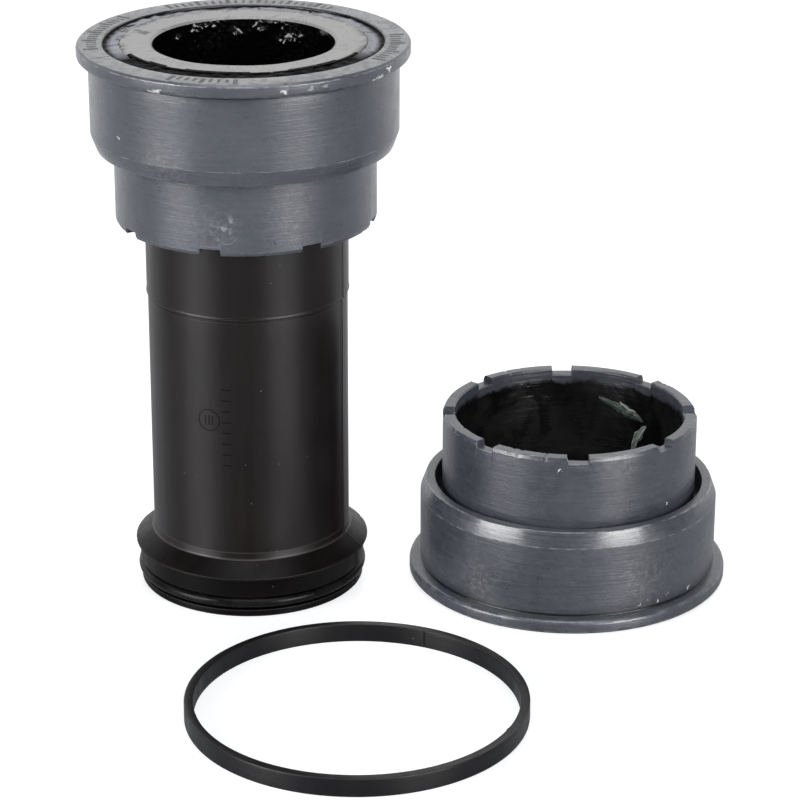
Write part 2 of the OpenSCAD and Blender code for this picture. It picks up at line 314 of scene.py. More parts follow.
class Nodes:
    """Short names for making the nodes of a material or of the world. A value is a number or a socket."""

    def __init__(self, owner, place="Object"):
        owner.use_nodes = True
        self.owner = owner
        self.tree = owner.node_tree
        self.shader = self.tree.nodes.get("Principled BSDF")
        self.place = self.add("ShaderNodeTexCoord").outputs[place]

    def link(self, value, socket):
        if isinstance(value, bpy.types.NodeSocket):
            self.tree.links.new(value, socket)
        else:
            socket.default_value = value

    def add(self, kind, values=None, **settings):
        node = self.tree.nodes.new(kind)
        for key, value in settings.items():
            setattr(node, key, value)
        for key, value in (values or {}).items():
            self.link(value, node.inputs[key])
        return node

    def scaled(self, scale):
        return self.add("ShaderNodeMapping", {"Vector": self.place, "Scale": scale}).outputs["Vector"]

    def noise(self, scale, detail=4.0, rough=0.55, vector=None, distortion=0.0):
        values = {"Vector": vector or self.place, "Scale": scale, "Detail": detail, "Roughness": rough}
        return self.add("ShaderNodeTexNoise", {**values, "Distortion": distortion}).outputs["Fac"]

    def cells(self, scale):
        return self.add("ShaderNodeTexVoronoi", {"Vector": self.place, "Scale": scale}).outputs["Distance"]

    def step(self, value, low, high, to_low=0.0, to_high=1.0):
        """Number that goes smoothly from to_low to to_high as the value goes from low to high."""
        values = {"Value": value, "From Min": low, "From Max": high, "To Min": to_low, "To Max": to_high}
        return self.add("ShaderNodeMapRange", values, interpolation_type="SMOOTHSTEP").outputs["Result"]

    def maths(self, operation, a, b=0.0):
        return self.add("ShaderNodeMath", {0: a, 1: b}, operation=operation).outputs[0]

    def times(self, a, b):
        return self.maths("MULTIPLY", a, b)

    def plus(self, a, b):
        return self.maths("ADD", a, b)

    def mix(self, share, a, b):
        """Colour that goes from a to b as share goes from 0 to 1."""
        values = {"Factor": share, "A": shade(a), "B": shade(b)}
        return self.add("ShaderNodeMix", values, data_type="RGBA").outputs["Result"]

    def blend(self, share, a, b):
        """Number that goes from a to b as share goes from 0 to 1."""
        values = {"Factor": share, "A": a, "B": b}
        return self.add("ShaderNodeMix", values, data_type="FLOAT").outputs["Result"]

    def attribute(self, name):
        return self.add("ShaderNodeAttribute", attribute_name=name).outputs["Fac"]

    def vector_maths(self, operation, *terms):
        return self.add("ShaderNodeVectorMath", dict(enumerate(terms)), operation=operation)

    def shaken(self, scale, reach):
        """The place, moved about by up to half of reach millimetres, to make outlines ragged."""
        colours = self.add("ShaderNodeTexNoise", {"Vector": self.place, "Scale": scale}).outputs["Color"]
        moved = self.vector_maths("MULTIPLY_ADD", colours, (reach * MM,) * 3, self.place)
        return self.vector_maths("SUBTRACT", moved.outputs["Vector"], (reach * MM / 2,) * 3).outputs["Vector"]

    def near(self, point, radius, soft, place=None, flatten=1.0):
        """1 inside a ball around a point in the piece's own millimetres, 0 outside. flatten makes it low."""
        x, y, z = point
        squeezed = self.vector_maths("MULTIPLY", place or self.place, (1, 1, flatten)).outputs["Vector"]
        away = self.vector_maths("DISTANCE", squeezed, (x * MM, y * MM, z * flatten * MM)).outputs["Value"]
        return self.step(away, (radius - soft) * MM, (radius + soft) * MM, 1.0, 0.0)

    def finish(self, colour, roughness, height=None, depth=0.0001, **constants):
        """Set the shader's colour, roughness, bump and constants, and give the material."""
        self.link(shade(colour), self.shader.inputs["Base Color"])
        self.link(roughness, self.shader.inputs["Roughness"])
        if height is not None:
            bump = self.add("ShaderNodeBump", {"Distance": depth, "Height": height})
            self.link(bump.outputs["Normal"], self.shader.inputs["Normal"])
        for key, value in constants.items():
            self.shader.inputs[key.replace("_", " ")].default_value = value
        return self.owner


def surface(name):
    return Nodes(bpy.data.materials.new(name))


# ---------------------------------------------------------------- materials
LIGHT_MARK = (204, 205, 203)
DARK_MARK = (26, 26, 29)
SCUFF = (138, 140, 142)


def marked(m, base, marks):
    """Small ragged nicks at their own places: (azimuth, radius, height, size, tone)."""
    ragged = m.shaken(1300, 1.6)
    for azimuth, radius, height, size, tone in marks:
        spot = m.near(polar(azimuth, radius, height), size, size * 0.3, ragged, 2.4)
        base = m.mix(spot, base, tone)
    return base


def scribbled(m, base, places):
    """Fine curly scratches inside balls: (azimuth, radius, height, size)."""
    curls = m.maths("ABSOLUTE", m.plus(m.noise(240, 2, 0.5, None, 1.2), -0.5))
    strokes = m.times(m.step(curls, 0.004, 0.011, 1, 0), m.step(m.noise(330, 2), 0.45, 0.55))
    for azimuth, radius, height, size in places:
        inside = m.near(polar(azimuth, radius, height), size, 0.7)
        base = m.mix(m.times(m.times(inside, strokes), 0.5), base, (160, 163, 167))
    return base


def dusted(m, base, places):
    """Dusty, finely mottled smudges inside soft balls: (azimuth, radius, height, size)."""
    grains = m.step(m.noise(1500, 4, 0.75), 0.45, 0.62)
    for azimuth, radius, height, size in places:
        inside = m.near(polar(azimuth, radius, height), size, size * 0.8)
        base = m.mix(m.times(m.times(inside, grains), 0.4), base, (122, 121, 119))
    return base


def cup_material(name, dark, light, dirt_and_painted_shade, marks, scribbles, smudges):
    """Grey glass-filled nylon: turned lines, nicks, smudges, a scuffed face painted lighter, painted shade in
    the relief groove, and a grease-black inside with painted shade.
    """
    m = surface(name)
    broad = m.noise(110, 4, 0.6)
    fine = m.noise(900, 5, 0.7)
    ripples = m.noise(1, 3, 0.6, m.scaled((150, 150, 2600)), 0.6)
    lines = m.noise(1, 2, 0.5, m.scaled((60, 60, 9000)))
    base = m.mix(m.step(broad, 0.3, 0.7), dark, light)
    base = m.mix(m.step(fine, 0.4, 0.75, 0, 0.4), base, (84, 86, 92))
    base = m.mix(m.step(ripples, 0.42, 0.66, 0, 0.25), base, (82, 83, 86))
    base = dusted(m, base, smudges)
    specks = m.times(m.step(m.cells(800), 0.08, 0.16, 1, 0), m.step(m.noise(150, 2), 0.61, 0.68))
    base = m.mix(m.times(specks, 0.25), base, (34, 34, 38))
    worn = m.times(m.attribute("edge"), m.step(m.noise(600, 4, 0.7), 0.42, 0.64))
    base = m.mix(m.times(worn, 0.75), base, (142, 144, 146))
    # painted shade: the relief groove under the flange is coloured near black
    base = m.mix(m.times(m.attribute("relief"), dirt_and_painted_shade), base, (11, 11, 14))
    face = m.attribute("face")
    smear = m.noise(1, 5, 0.7, m.scaled((330, 330, 1)), 1.8)
    # the flange's face: a scuffed, mottled grey, painted lighter than the body as light from above makes it
    # look
    scuffed_face_painted_light = m.mix(m.step(smear, 0.38, 0.64), (118, 119, 121), (70, 71, 75))
    base = m.mix(m.times(face, 0.75), base, scuffed_face_painted_light)
    # the ring's inner wall and the pocket turn near black: a grease film, and painted shade deep inside
    inside = m.step(m.plus(m.attribute("inside"), m.times(m.noise(420, 4, 0.7), 0.5)), 0.42, 0.62)
    film = m.step(m.noise(150, 3, 0.6, None, 0.6), 0.3, 0.75)
    base = m.mix(inside, base, m.mix(film, (4, 4, 5), (8, 8, 9)))
    base = scribbled(m, base, scribbles)
    base = marked(m, base, marks)
    rough = m.plus(m.step(m.noise(350, 5, 0.75), 0.3, 0.7, 0.22, 0.32), m.times(ripples, 0.08))
    rough = m.blend(m.attribute("polish"), rough, m.step(lines, 0.35, 0.65, 0.16, 0.3))
    rough = m.blend(face, rough, m.step(smear, 0.4, 0.62, 0.22, 0.36))
    rough = m.blend(inside, rough, m.step(film, 0, 1, 0.22, 0.4))
    m.link(m.times(m.attribute("polish"), 0.2), m.shader.inputs["Coat Weight"])
    height = m.plus(m.times(ripples, 1.3), m.plus(m.times(lines, 0.5), m.times(fine, 0.5)))
    height = m.plus(height, m.plus(m.times(broad, 1.2), m.times(specks, -0.25)))
    height = m.plus(height, m.times(inside, m.times(film, 2.0)))
    return m.finish(base, rough, height, 0.000035, Specular_IOR_Level=0.9, Coat_Roughness=0.12)


def cover_material():
    """Lighter satin plastic, with smears and spots of black grease near its rim."""
    m = surface("cover_plastic")
    broad = m.noise(170, 4, 0.6)
    fine = m.noise(1300, 4, 0.7)
    smear = m.noise(1, 5, 0.7, m.scaled((260, 260, 1)), 1.6)
    base = m.mix(m.step(broad, 0.3, 0.7), (116, 117, 120), (135, 134, 131))
    base = m.mix(m.step(fine, 0.4, 0.75, 0, 0.35), base, (160, 160, 160))
    dirt_and_painted_shade = m.step(smear, 0.55, 0.68)
    base = m.mix(m.times(dirt_and_painted_shade, 0.5), base, (78, 79, 84))
    splash = m.times(m.attribute("rim"), m.step(m.noise(430, 5, 0.72, None, 1.0), 0.49, 0.55))
    base = m.mix(splash, base, (7, 7, 8))
    base = m.mix(m.attribute("inside"), base, (6, 6, 7))
    base = marked(m, base, COVER_MARKS)
    rough = m.blend(dirt_and_painted_shade, m.step(broad, 0.3, 0.7, 0.28, 0.4), 0.22)
    rough = m.blend(splash, rough, 0.3)
    height = m.plus(m.times(fine, 0.4), m.plus(m.times(smear, 0.6), m.times(splash, 2.0)))
    return m.finish(base, rough, height, 0.00004)


def black_plastic(name, dark, light, rough_low, rough_high, gloss=0.4, painted_edge_highlight=0.35):
    """Satin black moulding with faint flow streaks along its height, fine grain, a painted highlight on its
    rounded edges and painted shade along its seam lines.
    """
    m = surface(name)
    broad = m.noise(120, 3, 0.6)
    streaks = m.noise(1, 4, 0.6, m.scaled((520, 520, 26)))
    grain = m.noise(2800, 3, 0.7)
    base = m.mix(m.step(broad, 0.3, 0.7), dark, light)
    dust = m.times(m.step(m.cells(560), 0.035, 0.075, 1, 0), m.step(m.noise(190, 2), 0.52, 0.58))
    base = m.mix(m.times(dust, 0.5), base, (120, 116, 112))
    # painted highlight: lighter along the rounded edges
    base = m.mix(m.times(m.attribute("edge"), painted_edge_highlight), base, (78, 74, 72))
    # painted shade: black along the sleeve's parting-line groove and the spacer's two bore lines
    base = m.mix(m.attribute("seam"), base, (1, 1, 1))
    rough = m.plus(m.step(streaks, 0.3, 0.7, rough_low, rough_high), m.times(grain, 0.05))
    height = m.plus(m.times(streaks, 0.5), m.plus(m.times(grain, 0.4), m.times(broad, 1.0)))
    return m.finish(base, rough, height, 0.00003, Specular_IOR_Level=gloss)


def rubber_material(name, rough_low, rough_high, gloss=0.5):
    m = surface(name)
    grain = m.noise(1500, 4, 0.7)
    lumps = m.noise(320, 3, 0.6)
    base = m.mix(m.step(lumps, 0.35, 0.65), (11, 11, 12), (22, 22, 23))
    rough = m.step(lumps, 0.3, 0.7, rough_low, rough_high)
    height = m.plus(m.times(grain, 0.3), lumps)
    return m.finish(base, rough, height, 0.00006, Specular_IOR_Level=gloss)


def grease_material():
    """Old black grease: glossy, lumpy, with a few dull grains in it."""
    m = surface("black_grease")
    lumps = m.noise(420, 4, 0.6, None, 0.8)
    fine = m.noise(1700, 3, 0.65)
    base = m.mix(m.step(m.noise(900, 3), 0.62, 0.72), (3, 3, 4), (18, 18, 20))
    rough = m.step(fine, 0.35, 0.7, 0.1, 0.26)
    height = m.plus(lumps, m.times(fine, 0.25))
    return m.finish(base, rough, height, 0.00012)


def groove_grease_material():
    """Black grease around the cover, mottled with grey where it lies thin; the grey also paints the sheen of
    the wet grease round the far side.
    """
    m = surface("groove_grease")
    lumps = m.noise(330, 5, 0.7, None, 1.2)
    # the grey mottling stands for thin grease and is also a painted sheen on the far side
    thin = m.times(m.attribute("thin"), m.step(lumps, 0.34, 0.5))
    base = m.mix(thin, (3, 3, 4), (142, 142, 150))
    rough = m.blend(thin, m.step(m.noise(1700, 3, 0.65), 0.35, 0.7, 0.25, 0.5), 0.34)
    height = m.plus(lumps, m.times(m.noise(1500, 3), 0.3))
    return m.finish(base, rough, height, 0.0001, Specular_IOR_Level=0.01)


def pale_grease_material(name, dark, light):
    """Fresh grease drawn out in fine strings."""
    m = surface(name)
    across, along = m.times(m.attribute("across"), 2.2), m.times(m.attribute("along"), 1.4)
    run = m.add("ShaderNodeCombineXYZ", {"X": across, "Y": along})
    strings = m.noise(1.6, 4, 0.6, run.outputs["Vector"], 0.4)
    base = m.mix(m.step(strings, 0.4, 0.62), dark, light)
    return m.finish(base, m.step(strings, 0.3, 0.7, 0.14, 0.3), strings, 0.0002)


def steel_material(name, tone, rough_low, rough_high, brown=0.15):
    """Ground bearing steel with lines around its axis and a film of old grease."""
    m = surface(name)
    lines = m.noise(1, 3, 0.6, m.scaled((90, 90, 6500)))
    film = m.noise(260, 4, 0.65)
    base = m.mix(m.step(film, 0.45, 0.7, 0, brown * 3), tone, (66, 58, 48))
    rough = m.step(lines, 0.3, 0.7, rough_low, rough_high)
    return m.finish(base, rough, m.plus(lines, m.times(film, 0.5)), 0.00002, Metallic=1.0)


def cage_material():
    m = surface("cage_nylon")
    film = m.noise(500, 4, 0.6)
    base = m.mix(m.step(film, 0.4, 0.7), (168, 150, 118), (96, 82, 60))
    return m.finish(base, m.step(film, 0.3, 0.7, 0.25, 0.45), film, 0.00004)


def print_material():
    """Worn dark ink of the tick marks."""
    m = surface("tick_ink")
    wear = m.noise(1500, 4, 0.7)
    base = m.mix(m.step(wear, 0.64, 0.82), (20, 21, 24), (88, 90, 94))
    return m.finish(base, m.step(wear, 0.3, 0.7, 0.3, 0.5), wear, 0.00002)


# ---------------------------------------------------------------- the cup
def cup_corners(height):
    return [
        (POCKET_R + 0.2, FACE_SINK, 0.08),
        (FLANGE_R - FLANGE_BEVEL, FACE_SINK, 0.2),
        (FLANGE_R, FLANGE_BEVEL, 0.3),
        (FLANGE_R, FLANGE_T, 0.55),
        (BODY_R - RELIEF[0], FLANGE_T, 0.1),
        (BODY_R - RELIEF[0], FLANGE_T + RELIEF[1], 0.1),
        (BODY_R, FLANGE_T + RELIEF[1], 0.15),
        (BODY_R, NOSE_Z, 0.5),
        (RIM_R, RIM_Z, 0.22),
        (RIM_R - RIM_W, RIM_Z, 0.18),
        (RIM_R - RIM_W, GAP_FLOOR_Z, 0.35),
        (RING_OUTER_R, GAP_FLOOR_Z, 0.35),
        (RING_OUTER_R, height - RING_BEVEL, 0.3),
        (RING_OUTER_R - RING_BEVEL / 2, height, 0.15),
        (RING_R + 0.2, height, 0.08),
        (RING_R, height - 0.2, 0.08),
        (RING_R, WEB_Z, 0.25),
        (WEB_R, WEB_Z, 0.2),
        (WEB_R, POCKET_Z + SHOULDER_H, 0.1),
        (SHOULDER_R, POCKET_Z + SHOULDER_H, 0.1),
        (SHOULDER_R, POCKET_Z, 0.05),
        (POCKET_R, POCKET_Z, 0.05),
        (POCKET_R, 0.2, 0.05),
    ]


# The notch's wall: mm past it, share of the notch's depth there
NOTCH_EDGE = ((-0.09, 0.0), (-0.03, 0.06), (0.03, 0.94), (0.09, 1.0))


def notch_share(theta, r):
    """0 between the notches and 1 in them, for points at radius r."""
    pitch = TAU / NOTCHES
    off = np.abs((theta + pitch / 2) % pitch - pitch / 2)
    inwards = NOTCH_W / 2 - r * np.sin(off)
    return np.interp(inwards, [e[0] for e in NOTCH_EDGE], [e[1] for e in NOTCH_EDGE])


def cup_angles(count):
    """Even columns, with extra ones at each notch's walls."""
    middle = (RING_R + RING_OUTER_R) / 2
    extra = []
    for n in range(NOTCHES):
        for side in (-1, 1):
            for past, _ in NOTCH_EDGE:
                for r in (RING_R, middle, RING_OUTER_R):
                    extra.append(n * TAU / NOTCHES + side * math.asin((NOTCH_W / 2 - past) / r))
    return np.unique(np.round(np.concatenate([even_angles(count), np.array(extra) % TAU]), 6))


def cup(name, height, seed):
    points, fillets = divided(*rounded(cup_corners(height), 3), 2.2)
    flange_nicks = some_dents(seed, 16, (0.3, 0.9), (0.02, 0.08))
    ring_nicks = some_dents(seed + 1, 14, (0.3, 1.1), (0.03, 0.16))
    rim_nicks = some_dents(seed + 2, 10, (0.3, 0.8), (0.03, 0.1))
    sway = waves(seed + 3, 9, 2, 9, 0.2)
    ripple = waves(seed + 4, 14, 20, 70, 1.5)
    foot = height - NOTCH_FOOT

    def warp(theta, r, z):
        in_ring = (r > RING_R - 0.05) & (r < RING_OUTER_R + 0.05) & (z > foot)
        at_end = in_ring & (z > height - RING_BEVEL - 0.12)
        share = notch_share(theta, r)
        burr = bell(share - 0.03, 0.2) * (share > 0.001) * BURR
        z = np.where(in_ring, foot + (z - foot) * (1 - NOTCH_DEPTH * share / (height - foot)), z)
        z = z + np.where(at_end, burr - dents(theta, ring_nicks) * (1 - share), 0)
        r = np.where(at_end & (r > RING_OUTER_R - 0.3), r + (RING_OUTER_R - 0.02 - r) * share, r)
        at_rim = (np.abs(z - RIM_Z) < 0.3) & (r > RIM_R - 0.4) & (r < RIM_R + 0.3)
        r = r - np.where(at_rim, dents(theta, rim_nicks), 0)
        at_flange = (r > FLANGE_R - 0.5) & (z < FLANGE_BEVEL + 0.3)
        r = r - np.where(at_flange, dents(theta, flange_nicks), 0)
        outside = r > RING_OUTER_R - 0.3
        r = r - np.where(outside, CUP_INSET + 0.008 * sway(theta, z) + 0.003 * ripple(theta, z), 0)
        return theta, r, z, {}

    r, z = points[:, 0], points[:, 1]
    in_relief = (r < BODY_R - 0.03) & (r > RIM_R) & (np.abs(z - FLANGE_T - RELIEF[1] / 2) < 0.26)
    attributes = {
        "edge": fillets * (r > RING_R - 0.1) * np.where((z > 1.0) & (z < 3.0), 0.4, 1.0),
        "relief": in_relief.astype(float),
        "polish": ((z > NOSE_Z + 0.12) & (z < RIM_Z - 0.05) & (r > RIM_R)).astype(float),
        "inside": np.where(r < RING_R + 0.06, np.clip((height - z) / GREASE_AND_SHADE_START - 0.55, 0, 1),
                           (r < POCKET_R + 0.02) & (z < WEB_Z)),
        "face": ((z < FACE_SINK + 0.05) & (r > POCKET_R)).astype(float),
    }
    return lathe(name, points, cup_angles(CUP_COLUMNS), warp, attributes)


def tick_marks(name):
    """Plain graduations in four arcs on the flange's face, where a maker would print, and one long score."""
    verts, faces = [], []

    def bar(angle, inner, outer, half):
        theta = math.radians(angle)
        side = Vector((-math.sin(theta), math.cos(theta))) * half
        out = Vector((math.cos(theta), math.sin(theta)))
        corners = [out * inner - side, out * outer - side, out * outer + side, out * inner + side]
        faces.extend(bar_faces(len(verts)))
        verts.extend((c.x * MM, c.y * MM, h * MM) for h in (0.002, 0.2) for c in corners)

    for middle, spread in TICK_ARCS:
        for n in range(spread // TICK_STEP + 1):
            outer, half = TICK if n % TICKS_PER_LONG else LONG_TICK
            bar(middle - spread / 2 + TICK_STEP * n, TICK_INNER_R, outer, half)
    bar(*SCORE)
    return mesh_object(name, verts, faces)


def groove_grease(name, seed):
    """Lumpy ring of grease in the gap round the cover, sunk at the pocket's wall where it lies thin."""
    inner, outer, columns = COVER_R + 0.03, POCKET_R - 0.01, 16
    skin = np.stack([np.linspace(inner, outer, columns), np.linspace(*GROOVE_CROWN, columns)], -1)
    outline = np.concatenate([skin, [[outer, GREASE_BASE], [inner, GREASE_BASE]]])
    lumps = waves(seed, 26, 3, 60, 4.0)
    swell = waves(seed + 1, 8, 2, 9, 0.3)

    def warp(theta, r, z):
        top = z < 0.9
        inward = np.clip((POCKET_R - r) / (POCKET_R - COVER_R), 0, 1)
        lift = 0.05 * lumps(theta, r) + 0.04 * swell(theta, r)
        z = np.where(top, z - lift * np.clip(inward * 4, 0, 1), z)
        thin = thin_grease_and_sheen(theta) * np.clip(inward * 3 - 0.5, 0, 1)
        sunk = THIN_SINK * thin * bell(POCKET_R - 0.15 - r, 0.25)
        z = z + np.where(top, sunk, 0)
        return theta, r, np.clip(z, 0.12, GREASE_BASE), {"thin": thin}

    return lathe(name, outline, even_angles(GROOVE_COLUMNS), warp)


def thin_grease_and_sheen(theta):
    """1 round the far part of the groove, where the grease is thin and painted grey with its sheen, 0 where it
    is thick and black.
    """
    off = np.degrees(np.abs(turned_from(theta, THIN_MIDDLE)))
    return np.clip((THIN_REACH - off) / THIN_FADE, 0, 1)


# ---------------------------------------------------------------- the dust cover
def dust_cover(name, seed):
    corners = [
        (COVER_BORE_R + COVER_BEVEL, COVER_RECESS, 0.12),
        (COVER_R - 0.2, COVER_RECESS, 0.15),
        (COVER_R, COVER_RECESS + 0.2, 0.15),
        (COVER_R, BEARING_RECESS, 0.08),
        (BARREL_R, BEARING_RECESS, 0.05),
        (BARREL_R, BARREL_END, 0.1),
        (COVER_BORE_R, BARREL_END, 0.1),
        (COVER_BORE_R, COVER_RECESS + COVER_BEVEL, 0.12),
    ]
    points, fillets = divided(*rounded(corners), 0.4)
    sway = waves(seed, 8, 2, 8, 0.3)
    nicks = some_dents(seed, 7, (0.4, 1.2), (0.02, 0.09))

    def warp(theta, r, z):
        face = (z < COVER_RECESS + 0.15) & (r < COVER_R - 0.1)
        z = z + np.where(face, COVER_DIP + 0.015 * sway(theta, r), 0)
        r = r - np.where(r > COVER_R - 0.25, dents(theta, nicks), 0)
        return theta, r, z, {}

    r, z = points[:, 0], points[:, 1]
    attributes = {
        "edge": fillets * (z < 0.7) * (r > COVER_BORE_R + 0.05),
        "inside": ((r < COVER_BORE_R + 0.1) & (z > COVER_RECESS + COVER_BEVEL)).astype(float),
        "rim": np.clip((r - COVER_R + 1.1) / 1.0, 0, 1),
    }
    return lathe(name, points, even_angles(COVER_COLUMNS), warp, attributes)


def smear_rim(cover, seed):
    """Give the cover's rim its second material, the grease, inside a wavy edge where the grease is thick."""
    edge = waves(seed, 12, 3, 16, 1.0)
    for face in cover.data.polygons:
        x, y, _ = face.center / MM
        theta, r = math.atan2(y, x), math.hypot(x, y)
        if r > SMEAR_R + 0.22 * edge(theta, r) and thin_grease_and_sheen(theta) < 0.5:
            face.material_index = 1


def bore_grease(name, seed, radius, low, high, blobs):
    """Film of grease on the wall of a bore, with blobs (angle in degrees, height, size, thickness)."""
    rows = 44
    skin = np.stack([np.full(rows, radius - GREASE_FILM), np.linspace(low, high, rows)], -1)
    outline = np.concatenate([skin, [[radius - 0.005, high], [radius - 0.005, low]]])
    lumps = waves(seed, 22, 2, 16, 2.6)
    fine = waves(seed + 1, 20, 20, 60, 8.0)

    def warp(theta, r, z):
        ridge = 0.04 * bell(z - low - 5.5, 0.12)
        thick = 0.012 * lumps(theta, z) + ridge
        for at, height, size, crown in blobs:
            off = turned_from(theta, at) * radius
            away = np.hypot(off, (z - height) * 1.3) * (1 + 0.3 * fine(theta, z))
            thick = thick + crown * bell(away, size) * (1 + 0.35 * fine(theta, z))
        ends = np.clip(np.minimum(z - low, high - z) / 0.3, 0, 1)
        film = radius - GREASE_FILM - np.clip(thick, 0, 0.6) * ends
        return theta, np.where(r < radius - 0.02, film, r), z, {}

    return lathe(name, outline, even_angles(BORE_COLUMNS), warp)


def grease_string(name, radius, start, end, width):
    """Leaf-shaped string of grease on the wall of a bore, between two places (azimuth, height)."""
    along, around = 40, 12
    run = Vector((math.radians(end[0] - start[0]) * radius, end[1] - start[1]))
    side = Vector((-run.y, run.x)).normalized()
    verts, lengthwise, crosswise = [], [], []
    for i in range(along):
        t = i / (along - 1)
        half = width / 2 * (0.08 + math.sin(math.pi * t) ** 0.8 * (0.85 + 0.15 * math.sin(17 * t)))
        middle = run * t + side * (0.25 * math.sin(4 * t) + 0.06 * math.sin(13 * t))
        for k in range(around):
            turn = TAU * k / around
            at = middle + side * half * math.cos(turn)
            depth = 0.03 + (0.4 + 0.1 * math.sin(11 * t)) * half * max(0.0, math.sin(turn))
            azimuth = start[0] + math.degrees(at.x / radius)
            verts.append([c * MM for c in polar(azimuth, radius - depth, start[1] + at.y)])
            lengthwise.append(t)
            crosswise.append(math.cos(turn))
    faces = []
    for i in range(along - 1):
        for k in range(around):
            here, beside = i * around + k, i * around + (k + 1) % around
            faces.append([here, beside, beside + around, here + around])
    ends = [list(range(around))[::-1], [(along - 1) * around + k for k in range(around)]]
    return mesh_object(name, verts, faces + ends, {"along": lengthwise, "across": crosswise})


# ---------------------------------------------------------------- sleeve and spacer
def sleeve(name):
    top = SLEEVE_L
    corners = [
        (SLEEVE_BORE_R, 0, 0.15),
        (LIP_R - 0.2, 0, 0.15),
        (LIP_R, 0.2, 0.15),
        (LIP_R, LIP_H, 0.12),
        (ORING_FLOOR_R, LIP_H, 0.1),
        (ORING_FLOOR_R, LAND[0], 0.1),
        (COLLAR_R, LAND[0], 0.12),
        (COLLAR_R, LAND[1], 0.08),
        (RIM_OUT_R, LAND[1], 0.1),
        (RIM_OUT_R, CONE[0], 0.12),
        (TUBE_R + 0.2, CONE[1], 0.5),
        (TUBE_R, CONE[1] + 0.9, 0.9),
        (TUBE_R, STEP_Z - 0.35, 0.08),
        (TUBE_R - 0.12, STEP_Z - 0.25, 0.05),
        (TUBE_R - 0.12, STEP_Z, 0.05),
        (TUBE_R + STEP_OUT + 0.1, STEP_Z + 0.15, 0.1),
        (TUBE_R + STEP_OUT, STEP_Z + 0.42, 0.15),
        (TUBE_R + STEP_OUT, top - LAND[1] - 1.9, 0.4),
        (COLLAR_R, top - LAND[1], 0.2),
        (COLLAR_R, top - LAND[0], 0.1),
        (ORING_FLOOR_R, top - LAND[0], 0.1),
        (ORING_FLOOR_R, top - LIP_H, 0.1),
        (LIP_R, top - LIP_H, 0.1),
        (LIP_R, top - 0.2, 0.12),
        (LIP_R - 0.2, top, 0.12),
        (SLEEVE_BORE_R, top, 0.15),
    ]
    points, fillets = divided(*rounded(corners), 2.5)
    sway = waves(51, 8, 2, 7, 0.12)
    nicks = some_dents(52, 9, (0.3, 1.0), (0.02, 0.1))
    seam = math.radians(PARTING_TURN)
    angles = even_angles(SLEEVE_COLUMNS)
    for past in np.linspace(-0.045, 0.045, 19):
        angles = np.append(angles, [(seam + past) % TAU, (seam + math.pi + past) % TAU])

    def warp(theta, r, z):
        outer = r > TUBE_R - 0.15
        off = np.abs(np.angle(np.exp(2j * (theta - seam)))) / 2 * r
        line = bell(off, 0.07) * outer
        strip = bell(off - 0.3, 0.16) * outer
        inset = np.where(outer, SLEEVE_INSET + 0.008 * sway(theta, z), 0)
        r = r - inset - SEAM_DEPTH * line + STRIP_RISE * strip
        at_rim = (np.abs(r - RIM_OUT_R) < 0.25) & (np.abs(z - CONE[0]) < 0.4)
        r = r - np.where(at_rim, dents(theta, nicks), 0)
        return theta, r, z, {"seam": line}

    attributes = {"edge": fillets * (points[:, 0] > TUBE_R - 0.05)}
    return lathe(name, points, np.unique(np.round(angles, 6)), warp, attributes)


def sleeve_mark(name):
    """Plain moulded mark on the sleeve: a ring with three bars in it, and a column of short bars beside it."""
    verts, faces = [], []

    def bar(place, start, end, half):
        """Low bar between two points (x, z) on the unrolled wall, in millimetres from a place on it."""
        azimuth, lift = place
        start, end = Vector(start), Vector(end)
        along = (end - start).normalized()
        side = Vector((-along.y, along.x)) * half
        faces.extend(bar_faces(len(verts)))
        for radius in (TUBE_R - MARK_SINK, TUBE_R):
            for corner in (start - side, end - side, end + side, start + side):
                point = polar(azimuth + math.degrees(corner.x / TUBE_R), radius, lift + corner.y)
                verts.append([c * MM for c in point])

    spacing, reach, half = RING_BAR
    turns = [k * TAU / RING_SIDES for k in range(RING_SIDES + 1)]
    corners = [(RING_MARK_R * math.cos(turn), RING_MARK_R * math.sin(turn)) for turn in turns]
    for start, end in zip(corners, corners[1:]):
        bar(RING_PLACE, start, end, half)
    for k in (-1, 0, 1):
        bar(RING_PLACE, (spacing * k, -reach), (spacing * k, reach), half)
    spacing, reach, half = SHORT_BAR
    for k in range(SHORT_BARS):
        bar(SHORT_BARS_PLACE, (-reach, -spacing * k), (reach, -spacing * k), half)
    return mesh_object(name, verts, faces)


def spacer(name):
    corners = [
        (SPACER_BORE_R, 0, 0.12),
        (SPACER_R, 0, 0.18),
        (SPACER_R, SPACER_H, 0.18),
        (SPACER_BORE_R, SPACER_H, 0.12),
    ]
    points, fillets = divided(*rounded(corners), 0.6)
    sway = waves(71, 7, 2, 6, 0.2)
    angles = even_angles(SPACER_COLUMNS)
    for at in (*SPACER_LINES, SPACER_NUB):
        angles = np.append(angles, (math.radians(at) + np.linspace(-0.012, 0.012, 13)) % TAU)

    def warp(theta, r, z):
        inner = r < SPACER_BORE_R + 0.3
        dark = np.zeros_like(r)
        for at in SPACER_LINES:
            dark = np.maximum(dark, inner * bell(turned_from(theta, at) * r, 0.1))
        r = r + SPACER_LINE * dark
        nub = bell(turned_from(theta, SPACER_NUB) * r, 0.35) * (z > 1.0)
        r = r - np.where(inner, NUB_RISE * nub, 0)
        return theta, r - SPACER_INSET * (1 + sway(theta, z)), z, {"seam": dark}

    return lathe(name, points, np.unique(np.round(angles, 6)), warp, {"edge": fillets})


# ---------------------------------------------------------------- build
def centre_of(node):
    low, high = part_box(node)
    return (low + high) / 2


left_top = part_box("left_cup_shell")[1].z
left_axis = centre_of("left_cup_shell")
right_axis = centre_of("right_cup_shell")
spacer_axis = centre_of("spacer_ring")

